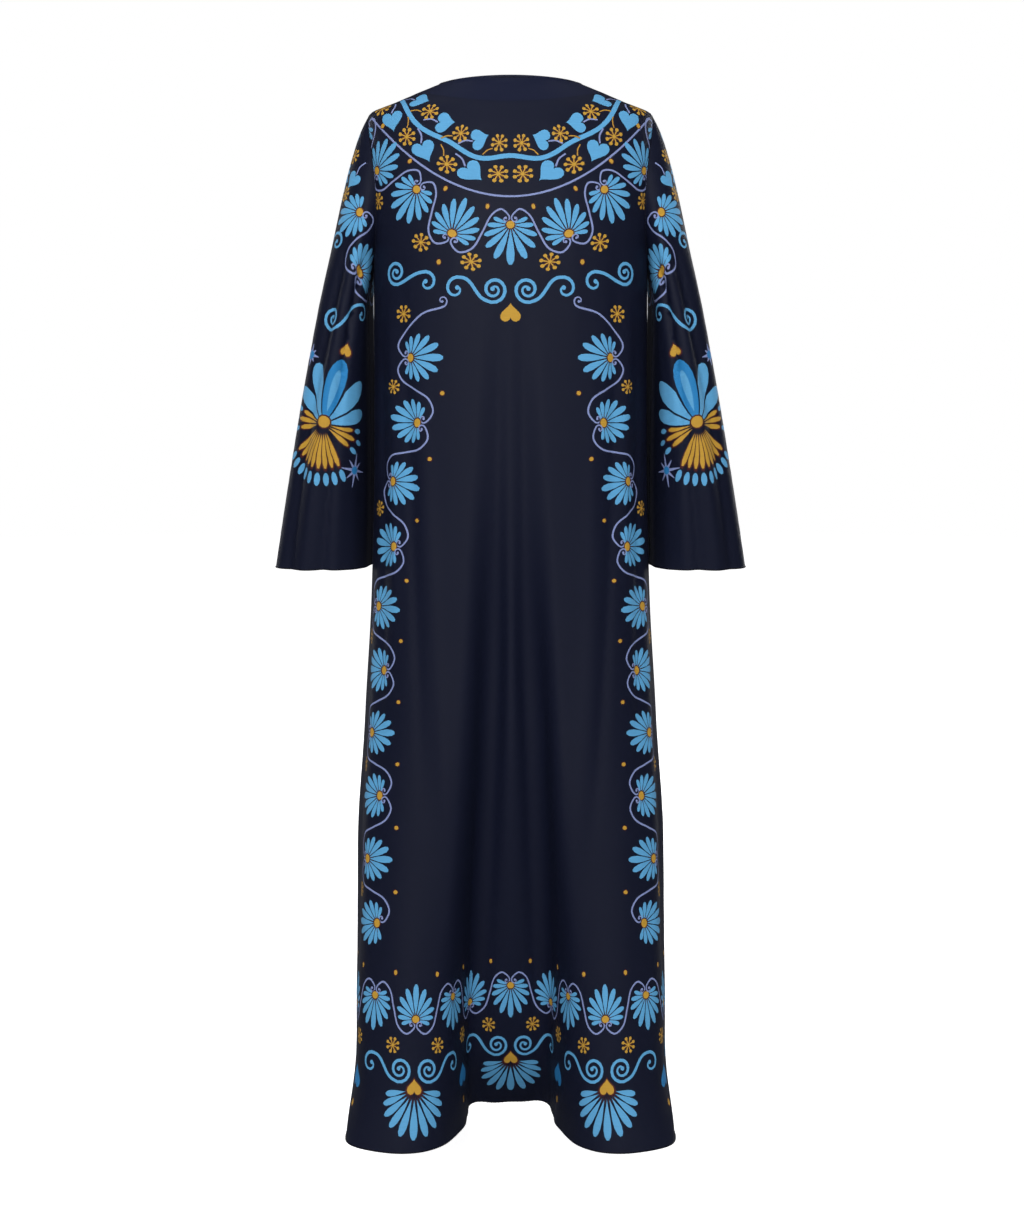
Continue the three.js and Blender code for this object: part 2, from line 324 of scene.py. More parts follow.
def hollowAt(drop, x):
    side = smoothStep(x, hollow(drop, "inner"), hollow(drop, "outer"))
    crest = 1 - smoothStep(x, 0, ridgeFoot * hollow(drop, "inner"))
    return hollow(drop, "depth") * (1 - side) - hollow(drop, "ridge") * crest


def form(side, angle, level):
    # angle is 0 on the centre line and a quarter turn at the side seam
    drop = level + neckDip(side, angle, level)
    reach, power = section(drop, "halfWidth"), section(drop, "power")
    x = np.minimum(section(level, "halfWidth") * np.abs(np.sin(angle)), reach)
    y = side["sign"] * section(drop, side["depth"]) * (1 - (x / reach) ** power) ** (1 / power)
    share = section(drop, "hemShare")
    hemX, hemY = side["hem"](np.minimum(1, np.abs(angle) / quarter))
    x = x + (hemX - x) * share
    y = y + (hemY - y) * share
    if side["sign"] < 0:
        y = y + hollowAt(drop, x)
    return np.stack([np.sign(angle) * x, y, -drop], axis=-1)


def endAngle(level):
    along = (level - cut["shoulderDrop"]) / (cut["underarmDrop"] - cut["shoulderDrop"])
    inside = (along > 0) & (along < 1)
    notch = np.sqrt(np.sin(np.pi * np.where(inside, along, 0)))
    return quarter - cut["armholeTurn"] * np.where(inside, notch, 0)


def unit(vectors):
    return vectors / np.maximum(np.linalg.norm(vectors, axis=-1, keepdims=True), 1e-9)


# for each surface, the steps over which its normal is measured and the limits of its two coordinates
measured = {
    "form": (0.01, 2, (-quarter, quarter), (0, cut["hemDrop"])),
    "panel": (0.008, 1.6, (-quarter, quarter), (0, cut["hemDrop"])),
    "sleeve": (0.02, 0.004, (-9, 9), (0, 1)),
}


def surfaceNormal(place, a, b, kind):
    # the normal of place(a, b), by differences that stay inside its limits
    stepA, stepB, limitA, limitB = measured[kind]
    a0, a1 = np.clip(a - stepA, *limitA), np.clip(a + stepA, *limitA)
    b0, b1 = np.clip(b - stepB, *limitB), np.clip(b + stepB, *limitB)
    return unit(np.cross(place(a1, b) - place(a0, b), place(a, b0) - place(a, b1)))


def formNormal(side, angle, level):
    # outward; on the side seams it has no share of Y, so that front and back agree there
    normal = -side["sign"] * surfaceNormal(lambda a, b: form(side, a, b), angle, level, "form")
    onSeam = np.abs(angle) > quarter - 1e-6
    flat = unit(np.stack([normal[..., 0], 0 * normal[..., 1], normal[..., 2]], axis=-1))
    return np.where(onSeam[..., None], flat, normal)


# ---- soft creases on the worn form: mostly long and upright, a little different left and right

# each row: where a crease starts and ends across the cloth, where it starts and ends down it, its depth,
# which is negative for a ridge, and its width; on a sleeve, across is in radians and down is a share
creases = {
    "back": [
        [150, 128, 150, 1120, 2.6, 9], [-152, -131, 190, 1040, 2.4, 9],
        [118, 104, 330, 1180, -1.6, 12], [-121, -103, 300, 1240, -1.7, 12],
        [172, 168, 240, 760, -2.0, 8], [-176, -166, 260, 820, -1.8, 8],
        [188, 196, 300, 1010, 2.2, 8], [-190, -199, 270, 940, 2.0, 8],
        [74, 84, 60, 420, -0.9, 14], [-70, -86, 70, 380, -0.9, 14],
        [210, 246, 520, 1330, -2.4, 12], [-214, -240, 560, 1300, -2.1, 12],
        [236, 300, 700, 1400, 2.6, 13], [-238, -296, 660, 1390, 2.4, 13],
        [262, 352, 860, 1441, -3.0, 16], [-268, -360, 880, 1441, -2.7, 16],
        [20, 128, 22, 110, 1.0, 12], [-24, -120, 26, 104, 1.0, 12],
        [30, 46, 560, 1441, 9.0, 22], [-31, -47, 520, 1441, 9.0, 22],
        [92, 118, 800, 1441, -4.0, 26], [-94, -121, 760, 1441, -4.0, 26],
    ],
    "front": [
        [70, 62, 190, 1180, 2.2, 12], [-74, -60, 240, 1100, 2.0, 12],
        [110, 118, 150, 1260, -2.0, 12], [-112, -121, 170, 1300, -1.9, 12],
        [150, 168, 220, 1360, 2.6, 11], [-154, -164, 200, 1290, 2.4, 11],
        [186, 214, 330, 1400, -2.2, 11], [-190, -210, 300, 1380, -2.0, 11],
        [34, 20, 330, 1000, -1.5, 14], [-30, -24, 380, 1060, -1.4, 14],
        [218, 262, 560, 1410, 2.0, 11], [-221, -258, 600, 1420, 2.1, 11],
        [4, 96, 96, 190, 1.2, 14], [-8, -92, 100, 180, 1.1, 14],
    ],
}
sleeveCreases = [
    [2.05, 1.72, 0.10, 1.0, 7.5, 0.16], [1.62, 1.36, 0.02, 1.0, -3.8, 0.15],
    [1.15, 1.02, 0.22, 1.0, 5.4, 0.13], [0.66, 0.70, 0.30, 1.0, -3.6, 0.15],
    [2.60, 2.35, 0.25, 1.0, -3.6, 0.16], [0.25, 0.30, 0.45, 1.0, 3.4, 0.14],
    [-0.55, -0.48, 0.35, 1.0, -4.0, 0.16], [-1.05, -0.92, 0.12, 1.0, 5.8, 0.15],
    [-1.65, -1.48, 0.05, 1.0, -4.0, 0.18], [-2.2, -2.0, 0.20, 1.0, 5.0, 0.17],
]
creaseShape = {"sway": 0.35, "swayRate": 5, "fadeIn": 0.3, "fadeOut": 0.35, "clearOfSeam": 18}


def creaseAt(rows, x, along):
    # soft troughs and ridges, fading at both ends unless they run out over the hem
    shape = creaseShape
    total = 0
    for start, end, begin, stop, depth, width in rows:
        t = np.clip((along - begin) / (stop - begin), 0, 1)
        middle = start + (end - start) * t + shape["sway"] * width * np.sin(shape["swayRate"] * t + start)
        overHem = stop in (1.0, cut["hemDrop"])
        ends = smoothStep(t, 0, shape["fadeIn"]) * (1 if overHem else smoothStep(1 - t, 0, shape["fadeOut"]))
        total = total + depth * ends * np.exp(-(((x - middle) / width) ** 2))
    return total


def arcReader(side, levelSteps=180, angleSteps=120):
    # length across the cloth from the centre line, at an angle and a level
    levels = np.linspace(0, cut["hemDrop"], levelSteps + 1)
    angles = np.linspace(0, quarter, angleSteps + 1)
    rows = form(side, *np.meshgrid(angles, levels))
    steps = np.linalg.norm(np.diff(rows, axis=1), axis=2)
    table = np.concatenate([np.zeros((len(levels), 1)), np.cumsum(steps, axis=1)], axis=1)

    def arc(angle, level):
        i = np.clip(level / cut["hemDrop"], 0, 1) * levelSteps
        j = np.clip(np.abs(angle) / quarter, 0, 1) * angleSteps
        i0, j0 = np.minimum(i.astype(int), levelSteps - 1), np.minimum(j.astype(int), angleSteps - 1)
        u, v = i - i0, j - j0
        top = table[i0, j0] * (1 - v) + table[i0, j0 + 1] * v
        low = table[i0 + 1, j0] * (1 - v) + table[i0 + 1, j0 + 1] * v
        return top * (1 - u) + low * u

    return arc


def panelPlace(sideName):
    side = sides[sideName]
    arc = arcReader(side)

    def place(angle, level):
        x = arc(angle, level)
        toSeam = np.minimum(arc(endAngle(level), level) - x, level)
        fade = smoothStep(toSeam, 0, creaseShape["clearOfSeam"])
        depth = creaseAt(creases[sideName], np.sign(angle) * x, level) * fade
        return form(side, angle, level) - formNormal(side, angle, level) * depth[..., None]

    return place


cuff = {
    "x": 258, "y": 50, "drop": 667, "halfWidth": 72, "halfDepth": 108, "turn": 0.16,
    "fluteCount": 5, "flutePhase": 0.8, "fluteHeight": 7,
}
sleeveLine = {
    "topOut": 43, "topDown": 60, "topIn": 44,
    "underOut": 8, "underDown": 40, "underIn": -4,
    "atArmhole": 20, "atCuff": 14, "forward": 12, "straight": 230,
    "clearance": 7, "softness": 6, "restShare": 0.3,
    "clearOfSeam": 0.2, "clearOfHead": 0.12, "clearOfBody": (0.5, 0.95),
}


def armhole(turn, read):
    level = cut["shoulderDrop"] + (cut["underarmDrop"] - cut["shoulderDrop"]) * (1 - np.cos(turn)) / 2
    back, front = (read(sides[name], endAngle(level), level) for name in ("back", "front"))
    return np.where((np.sin(turn) >= 0)[..., None], back, front)


def sleeveStart(turn):
    point, normal = armhole(turn, form), armhole(turn, formNormal)
    edge = armhole(turn + 0.02, form) - armhole(turn - 0.02, form)
    past = unit(np.cross(normal, edge))
    middleLevel = (cut["shoulderDrop"] + cut["underarmDrop"]) / 2
    inward = np.stack([0 * turn, -point[..., 1], -middleLevel - point[..., 2]], axis=-1)
    past = past * np.sign(np.sum(past * inward, axis=-1, keepdims=True))
    return point + (past + normal) * cut["seamGap"]


def cuffEdge(turn):
    outward = (1 + np.cos(turn)) / 2
    flute = cuff["fluteHeight"] * np.cos(cuff["fluteCount"] * (turn - cuff["flutePhase"]))
    swell = 1 + flute * outward / cuff["halfDepth"]
    x, y = cuff["halfWidth"] * np.cos(turn) * swell, -cuff["halfDepth"] * np.sin(turn) * swell
    c, s = math.cos(cuff["turn"]), math.sin(cuff["turn"])
    return np.stack([x * c - y * s + cuff["x"], x * s + y * c + cuff["y"], 0 * x - cuff["drop"]], axis=-1)


def bodyReach(drop, y):
    depth = np.where(y < 0, section(drop, "backDepth"), section(drop, "frontDepth"))
    power = section(drop, "power")
    return section(drop, "halfWidth") * (1 - np.minimum(1, np.abs(y) / depth) ** power) ** (1 / power)


def sleeveForm(turn, share):
    line = sleeveLine
    start, end = sleeveStart(turn), cuffEdge(turn)
    top = (1 + np.cos(turn)) / 2
    out, down, inward = (line["under" + k] + (line["top" + k] - line["under" + k]) * top
                         for k in ("Out", "Down", "In"))
    leave = np.stack([out, -line["atArmhole"] * np.sin(turn), -down], axis=-1)
    arriveBack = -line["atCuff"] * np.sin(turn) - line["forward"]
    arrive = np.stack([-inward, arriveBack, 0 * turn + line["straight"]], axis=-1)
    t = share[..., None]
    point = ((1 - t) ** 3 * start + 3 * t * (1 - t) ** 2 * (start + leave)
             + 3 * t**2 * (1 - t) * (end + arrive) + t**3 * end)
    grown = smoothStep(share, 0, line["restShare"])
    over = point[..., 0] - bodyReach(-point[..., 2], point[..., 1]) - line["clearance"] * grown
    point[..., 0] += (np.hypot(over, line["softness"] * grown) - over) / 2
    return point


def normalOnSleeve(place, turn, share):
    return -surfaceNormal(place, turn, share, "sleeve")


def sleevePlace(turn, share):
    wrapped = (turn + math.pi) % (2 * math.pi) - math.pi
    seam = smoothStep(math.pi - np.abs(wrapped), 0, sleeveLine["clearOfSeam"])
    body = 1 - smoothStep(-np.cos(wrapped), *sleeveLine["clearOfBody"])
    head = smoothStep(share, 0, sleeveLine["clearOfHead"])
    depth = creaseAt(sleeveCreases, wrapped, share) * seam * body * head
    return sleeveForm(turn, share) - normalOnSleeve(sleeveForm, turn, share) * depth[..., None]


def sleeveNormal(turn, share):
    return normalOnSleeve(sleevePlace, turn, share)


# ---- the flat cut of each piece

def cross(u, v):
    return u[:, 0] * v[:, 1] - u[:, 1] * v[:, 0]


def gridQuads(rows, columns):
    index = np.arange(rows * columns).reshape(rows, columns)
    return np.stack([index[1:, :-1], index[1:, 1:], index[:-1, 1:], index[:-1, :-1]], -1).reshape(-1, 4)


def layFlat(points, name):
    # unwraps a grid of surface points with least stretch, at its real size, with its middle column upright
    rows, columns = points.shape[:2]
    quads = gridQuads(rows, columns)
    mesh = meshOf(name, points, quads.tolist())
    mesh.uv_layers.new(name="cut")
    pattern = addObject(name, mesh)
    bpy.context.view_layer.objects.active = pattern
    pattern.select_set(True)
    bpy.ops.object.mode_set(mode="EDIT")
    bpy.ops.mesh.select_all(action="SELECT")
    bpy.ops.uv.unwrap(method="MINIMUM_STRETCH", margin=0.0, correct_aspect=False, iterations=24)
    bpy.ops.object.mode_set(mode="OBJECT")
    corners = np.zeros(len(mesh.loops) * 2)
    mesh.uv_layers["cut"].data.foreach_get("uv", corners)
    vertexOf = np.zeros(len(mesh.loops), int)
    mesh.loops.foreach_get("vertex_index", vertexOf)
    flat = np.zeros((rows * columns, 2))
    flat[vertexOf] = corners.reshape(-1, 2)
    bpy.data.objects.remove(pattern)
    bpy.data.meshes.remove(mesh)
    a, b, c, d = (points.reshape(-1, 3)[quads[:, k]] for k in range(4))
    real = 0.5 * np.linalg.norm(np.cross(c - a, d - b), axis=1).sum()
    p, q, r, s = (flat[quads[:, k]] for k in range(4))
    drawn = 0.5 * np.abs(cross(r - p, s - q)).sum()
    flat = flat.reshape(rows, columns, 2) * math.sqrt(real / drawn)
    middle = columns // 2
    down = flat[-1, middle] - flat[0, middle]
    turn = -quarter - math.atan2(down[1], down[0])
    spin = np.array([[math.cos(turn), math.sin(turn)], [-math.sin(turn), math.cos(turn)]])
    flat = (flat - flat[0, middle]) @ spin
    if flat[rows // 2, -1, 0] < flat[rows // 2, 0, 0]:
        flat[..., 0] *= -1
    return flat, real


def makeCut(name, place, normal, a, b, even=True):
    # a and b are the surface's two coordinates on a grid that fills the piece, top row first; an even cut
    # is the same on both sides of its middle
    flat, area = layFlat(place(a, b), name)
    if even:
        flat = (flat + flat[:, ::-1] * [-1, 1]) / 2
    rows, columns = a.shape
    quads = gridQuads(rows, columns)
    triangles = np.concatenate([quads[:, [0, 1, 2]], quads[:, [0, 2, 3]]])
    spots = np.concatenate([flat.reshape(-1, 2), np.zeros((rows * columns, 1))], axis=1)
    tree = BVHTree.FromPolygons(spots.tolist(), triangles.tolist())
    size = flat.reshape(-1, 2).max(axis=0) - flat.reshape(-1, 2).min(axis=0)
    print(f"{name}: cut {size[0]:.0f} x {size[1]:.0f} mm, {area * 1e-6:.3f} square metres")
    return {"name": name, "place": place, "normal": normal, "a": a, "b": b, "flat": flat,
            "tree": tree, "triangles": triangles, "size": size * mm, "area": area * 1e-6}


def coordinatesAt(piece, spots):
    # the surface's coordinates at points of the flat cut
    flat, a, b = piece["flat"].reshape(-1, 2), piece["a"].ravel(), piece["b"].ravel()
    found = [piece["tree"].find_nearest((x, y, 0)) for x, y in spots]
    corners = piece["triangles"][[hit[2] for hit in found]]
    near = np.array([hit[0][:2] for hit in found])
    p, q, r = (flat[corners[:, k]] for k in range(3))
    whole = cross(q - p, r - p)
    second, third = cross(near - p, r - p) / whole, cross(q - p, near - p) / whole
    weights = np.stack([1 - second - third, second, third], axis=1)
    return (a[corners] * weights).sum(axis=1), (b[corners] * weights).sum(axis=1)


# ---- the print's ornament, drawn flat: each shape is a dye and an outline; up is +y, roots are at 0, 0

dyes = {
    "ground": "#14182B",
    # painted light: the ground a little lighter where the neck facing lies behind the cloth
    "paintedLighterGround": "#1B2037",
    "sky": "#63ADDD",
    "lavender": "#8C9ACB",
    "gold": "#CB9E3C",
    "maroon": "#4E2426",
    "deepBlue": "#2E86C4",
}


def counterclockwise(points):
    x, y = points[:, 0], points[:, 1]
    area = np.sum(x * np.roll(y, -1) - y * np.roll(x, -1))
    return points if area > 0 else points[::-1]


def placed(shapes, x, y, turn=0.0, size=1.0):
    # turn is in degrees, counterclockwise
    c, s = math.cos(math.radians(turn)) * size, math.sin(math.radians(turn)) * size
    spin = np.array([[c, s], [-s, c]])
    return [(dye, points @ spin + (x, y)) for dye, points in shapes]


def mirrored(shapes):
    return [(dye, counterclockwise(points * [-1, 1])) for dye, points in shapes]


def disc(dye, x, y, radius, flatten=1.0, count=12):
    turn = np.linspace(0, 2 * math.pi, count, endpoint=False)
    return dye, np.stack([x + radius * np.cos(turn), y + radius * flatten * np.sin(turn)], axis=1)


def petal(dye, length, half, turn, root=0.0, count=17, fullness=1.5):
    # a teardrop: narrow at its root, round at its tip; turn is in degrees from up, and count is odd
    phi = np.linspace(0, 2 * math.pi, count, endpoint=False)
    along = root + (length - root) * (1 - np.cos(phi)) / 2
    across = half * np.sin(phi) * np.sin(phi / 2) ** fullness
    points = np.stack([-across, along], axis=1)
    return placed([(dye, counterclockwise(points))], 0, 0, turn)[0]


def heartShape(dye, height, slim=1.0, count=26):
    # point up, lobes down
    t = np.linspace(0, 2 * math.pi, count, endpoint=False)
    x = 16 * np.sin(t) ** 3 * slim
    y = 13 * np.cos(t) - 5 * np.cos(2 * t) - 2 * np.cos(3 * t) - np.cos(4 * t)
    return dye, counterclockwise(np.stack([x, -y], axis=1) * height / 29)


def leftOf(line):
    # the direction to a line's left, all along it
    ahead = unit(np.gradient(line, axis=0))
    return np.stack([-ahead[:, 1], ahead[:, 0]], axis=1)


def ribbon(dye, line, width):
    line, width = np.array(line, float), np.broadcast_to(np.array(width, float), (len(line),))
    side = leftOf(line) * width[:, None] / 2
    return dye, counterclockwise(np.concatenate([line - side, (line + side)[::-1]]))


def spiral(x, y, radius, turns, hand, leave):
    # from its eye out to where the line leaves it, in degrees round the eye; hand is 1 for anticlockwise
    u = np.linspace(0, 1, 5 + round(13 * turns))
    turn = math.radians(leave) - hand * 2 * math.pi * turns * (1 - u)
    reach = radius * (0.12 + 0.88 * u**0.9)
    return np.stack([x + reach * np.cos(turn), y + reach * np.sin(turn)], axis=1)


def scroll(dye, first, last, width, via=(), bend=0.9):
    # a line between two spirals, through the via points where there are any
    out, back = spiral(*first), spiral(*last)
    if len(via):
        points = np.concatenate([[out[-3], out[-1]], via, [back[-1], back[-3]]])
        middle = smoothCurve(points, 6)[7:-7]
    else:
        reach = bend * np.linalg.norm(back[-1] - out[-1])
        leave, arrive = unit(out[-1] - out[-2]) * reach, unit(back[-2] - back[-1]) * reach
        middle = hermite(out[-1], back[-1], leave, arrive, np.linspace(0, 1, 13)[1:-1, None])
    line = np.concatenate([out, middle, back[::-1]])
    share = lengthAlong(line) / lengthAlong(line)[-1]
    widths = width * (0.6 + 0.4 * np.minimum(1, 5 * np.minimum(share, 1 - share)))
    ends = [disc(dye, *line[k], width * 0.72, count=8) for k in (0, -1)]
    return [ribbon(dye, line, widths)] + ends


def berries(size=1.0, count=8):
    # gold berries on short stalks over maroon rays
    turn = np.arange(2 * count) * math.pi / count
    reach = np.where(np.arange(2 * count) % 2 == 0, 9.5, 3.8)
    shapes = [("maroon", np.stack([reach * np.cos(turn), reach * np.sin(turn)], axis=1))]
    stalk = [[-0.7, 2.2], [0.7, 2.2], [0.9, 8.2], [2.5, 9.8], [2.7, 11.6], [1.4, 13.4], [-1.4, 13.4],
             [-2.7, 11.6], [-2.5, 9.8], [-0.9, 8.2]]
    for k in range(count):
        shapes += placed([("gold", np.array(stalk))], 0, 0, 360 * (k + 0.5) / count)
    return placed(shapes + [disc("gold", 0, 0, 2.4, count=8)], 0, 0, 0, size)


def berrySpray(size=1.0):
    # berries with a bent stalk below them
    line = smoothCurve([[0, -13], [2.5, -21], [1, -30]], 4)
    return placed([ribbon("maroon", line, 2.6), ribbon("gold", line, 1.4)], 0, 0, 0, size) + berries(size)


def dot(x=0.0, y=0.0, radius=3.0):
    return [disc("maroon", x, y, radius * 1.35, 1.15, 9), disc("gold", x, y, radius, 1.15, 9)]


def openFan(spread, reachAt, halfAt, petalShape, ray, petals=11):
    # petals with a thin ray between each two; off is 0 for the middle petal and 1 for the outer ones
    shapes = []
    length, half, root = ray
    for k in range(petals):
        off = abs(2 * k / (petals - 1) - 1)
        turn = spread * (k / (petals - 1) - 0.5)
        shapes.append(petal("sky", reachAt(off), halfAt(off), turn, *petalShape))
        if k < petals - 1:
            shapes.append(petal("maroon", length, half, turn + spread / (petals - 1) / 2, root, 5))
    return shapes


def anthemion(longest=50):
    # an open fan of petals over a golden heart
    fan = openFan(214, lambda off: longest * (1 - 0.5 * off**1.15), lambda off: 6.9 * (1 - 0.42 * off),
                  (4, 13), (13, 0.9, 4))
    return fan + [disc("maroon", 0, 0, 7.4, 0.9, 10), disc("gold", 0, 0, 6.0, 0.85, 10)]


def hemFan():
    # long petals under a golden heart, for the row above the hem
    fan = openFan(156, lambda off: 68 * (1 - 0.36 * off**1.5), lambda off: 7.4 - 1.2 * off,
                  (13, 15), (20, 1.1, 8))
    heart = [heartShape("maroon", 27, 0.9, 20), heartShape("gold", 22, 0.88, 20)]
    return fan + placed(heart, 0, -2, 180)


def ivyLeaf(height=28):
    # heart leaf with its stalk below it and its point up
    line = smoothCurve([[0, 2], [3.5, -8], [1, -19]], 5)
    leaf = placed([heartShape("sky", height)], 0, height * 0.42)
    return [ribbon("lavender", line, 2.2)] + leaf


def star(radius=24, rays=8):
    # thin rays round a blue eye
    shapes = []
    for k in range(rays):
        reach = radius * (1 if k % 2 == 0 else 0.74)
        ray = np.array([[-2.4, 4], [2.4, 4], [0.5, reach], [-0.5, reach]])
        shapes += placed([("lavender", ray)], 0, 0, 360 * k / rays)
    return shapes + [disc("deepBlue", 0, 0, 6, 1.0, 10)]


def volutePair(width=4.4):
    # two big spirals side by side, each running out over an arch to a smaller one
    right = scroll("sky", (22, 0, 17.5, 1.75, 1, -55), (72, 2, 16, 0.95, 1, 112), width, bend=1.1)
    return right + mirrored(right)


def lotusSpray():
    # an open lotus on a striped fan with blue tips, between narrow leaves: about 190 mm tall
    shapes = []
    for k in range(9):
        turn = 180 + 9.5 * (k - 4)
        shapes.append(petal("maroon", 71, 7.6, turn, 12, 11, 1.2))
        shapes.append(petal("gold", 67, 5.2, turn, 14, 11, 1.2))
        shapes += placed(placed([disc("sky", 0, 0, 4.6, 2.2, 11)], 0, -82), 0, 0, turn - 180)
    for sign in (1, -1):
        for turn, length in ((84, 54), (98, 62), (112, 56)):
            shapes.append(petal("maroon", length, 7.4, -turn * sign, 10, 11))
            shapes.append(petal("gold", length - 4, 5.2, -turn * sign, 10, 11))
            tip = disc("sky", 0, 0, 4.0, 2.0, 9)
            shapes += placed(placed([tip], 0, length + 8), 0, 0, -turn * sign)
        for turn, length, half in ((62, 78, 14), (32, 94, 18)):
            shapes.append(petal("ground", length + 4, half + 5, -turn * sign, 2, 19, 1.0))
            shapes.append(petal("sky", length, half, -turn * sign, 6, 19, 1.0))
    shapes += [petal("ground", 104, 25, 0, 2, 21, 0.8), petal("deepBlue", 100, 20, 0, 4, 21, 0.8)]
    shapes += [petal("sky", 84, 8, 0, 20, 15, 1.0)]
    shapes += [disc("maroon", 0, 4, 12, 0.9), disc("gold", 0, 4, 9.6, 0.9)]
    return shapes + placed([heartShape("maroon", 24, 0.9, 20), heartShape("gold", 19, 0.9, 20)], 0, 114)


def bowlLine(wide, low, high, power=2.0, count=90):
    # an upward-open curve from -wide to wide, low in its middle
    t = np.linspace(-1, 1, count)
    return np.stack([t * wide, low + (high - low) * np.abs(t) ** power], axis=1)


def alongLine(line):
    # bends a straight band onto a line, evened out first: x runs along it, y to its left
    share = lengthAlong(line) / lengthAlong(line)[-1]
    even = np.linspace(0, 1, 120)
    line = np.stack([np.polyval(np.polyfit(share, line[:, k], 5), even) for k in (0, 1)], axis=1)
    length = lengthAlong(line)
    ahead = unit(np.gradient(line, axis=0))

    def bend(shapes):
        bent = []
        for dye, points in shapes:
            past = points[:, 0] - np.clip(points[:, 0], 0, length[-1])
            x, y = (np.interp(points[:, 0], length, line[:, k]) for k in (0, 1))
            u, v = (np.interp(points[:, 0], length, ahead[:, k]) for k in (0, 1))
            spots = np.stack([x - v * points[:, 1] + u * past, y + u * points[:, 1] + v * past], axis=1)
            bent.append((dye, counterclockwise(spots)))
        return bent

    return bend, length[-1]


def frieze(first, last, spacing, rise, longest, middle=0.0):
    # fans that point down and up by turns, and the thin scroll that loops round them
    shapes = []
    for k in range(first, last + 1):
        down = k % 2 == 0
        fan = anthemion(longest if k else longest + 3)
        shapes += placed(fan, k * spacing, middle + (rise if down else -rise), 180 if down else 0)
        if k == last:
            break
        x0, x1, high = k * spacing, (k + 1) * spacing, rise + 8
        via = [[x0 + 0.2 * spacing, high + 12], [x0 + 0.385 * spacing, high + 3], [(x0 + x1) / 2, 0],
               [x1 - 0.385 * spacing, -high - 3], [x1 - 0.2 * spacing, -high - 12]]
        link = scroll("lavender", (x0 + 7, high, 6, 0.9, -1, 135), (x1 - 7, -high, 6, 0.9, -1, -45), 2.5, via)
        if not down:
            link = [(dye, counterclockwise(points * [1, -1])) for dye, points in link]
        shapes += placed(link, 0, middle)
    return shapes


# ---- where the ornament lies on each piece

yoke = {
    "back": {"vine": (164, -124, -18, 2.4), "ring": (202, -176, -44), "frieze": (236, -228, -50),
             "low": -298, "leaves": 3, "borderTop": 62},
    "front": {"vine": (164, -152, 62, 2.3), "ring": (202, -202, 40), "frieze": (236, -252, 25),
              "low": -322, "leaves": 4, "borderTop": 170},
}


def yokePrint(size):
    # round the neck: a vine with leaves and berries, a thin ring, a frieze of fans and a row of volutes
    vine = bowlLine(*size["vine"], count=100)
    wave = 3.4 * np.cos(np.linspace(-4, 4, len(vine)) * math.pi)
    vine = vine + leftOf(vine) * wave[:, None]
    middle = [ribbon("sky", vine, 6.4), ribbon("lavender", bowlLine(*size["ring"], count=70), 2.6)]
    bend, _ = alongLine(bowlLine(*size["vine"])[45:])
    leafSpacing, fanSpacing = 62, 74
    row = []
    for k in range(size["leaves"]):
        x = k * leafSpacing
        row += placed(ivyLeaf(), x + 56, 16, 58) + placed(berrySpray(0.95), x + 14, 21, 46)
        row += placed(ivyLeaf(), x + 54, -18, 122) + placed(berrySpray(0.92), x + 73, -25, 134)
    half = bend(row + placed(berries(0.92), 13, -22))
    bend, total = alongLine(bowlLine(*size["frieze"]))
    row = frieze(-4, 4, fanSpacing, 13, 50)
    for k in range(4):
        for sign in (1, -1):
            row += dot(sign * (k + 0.5) * fanSpacing, 36 if k % 2 else 34)
            row += placed(berries(0.88), sign * (k + (0.42 if k % 2 else 0.58)) * fanSpacing, -41)
    middle += bend(placed(row, total / 2, 0))
    low = size["low"]
    middle += placed([heartShape("gold", 25)], 0, low - 32) + placed(volutePair(), 0, low)
    outer, inner = (162, low + 28, 17, 1.75, -1, -125), (114, low + 12, 15, 0.95, -1, 68)
    half += scroll("sky", outer, inner, 4.4, bend=1.1)
    half += placed(berries(0.9), 150, low - 28) + dot(96, low + 38)
    return middle, half


borderAt = np.array([
    [250, 128], [380, 128], [465, 130], [541, 156], [628, 166],
    [720, 176], [860, 184], [1050, 190], [1200, 192], [1441, 196],
])  # drop, and the border's distance from the centre plane on the worn form
border = {"from": 300, "to": 1300, "spacing": 86, "clearOfHem": 84, "insideEdge": 3}


def sideBorder(piece, top):
    # fans down each side, by turns outwards and inwards, in two rows of places that widen towards the hem
    rows = (piece["levels"] >= border["from"]) & (piece["levels"] <= border["to"])
    wide = piece["place"](piece["a"][rows], piece["b"][rows])[..., 0]
    centre = wide.shape[1] // 2
    line = []
    for row, across, drop in zip(piece["flat"][rows], wide, piece["levels"][rows]):
        reach = np.maximum.accumulate(across[centre:])
        target = min(np.interp(drop, *borderAt.T), reach[-1] - border["insideEdge"])
        line.append([np.interp(target, reach, row[centre:, k]) for k in (0, 1)])
    bend, total = alongLine(np.array(line))
    spacing = border["spacing"]
    count = int((total - top - border["clearOfHem"]) // spacing)
    row = frieze(0, count, spacing, 11, 46)
    row += scroll("lavender", (-66, -44, 8, 1.0, 1, 10), (-7, 19, 6, 0.9, 1, 45), 2.5,
                  [[-56, -12], [-33, 22], [-17, 31]])
    for k in range(count):
        row += dot((k + 0.5) * spacing, -40, 2.7)
        if k % 2 == 0:
            row += placed(berries(0.8), (k + 0.5) * spacing, 36)
    return bend(placed(row, top, 0))


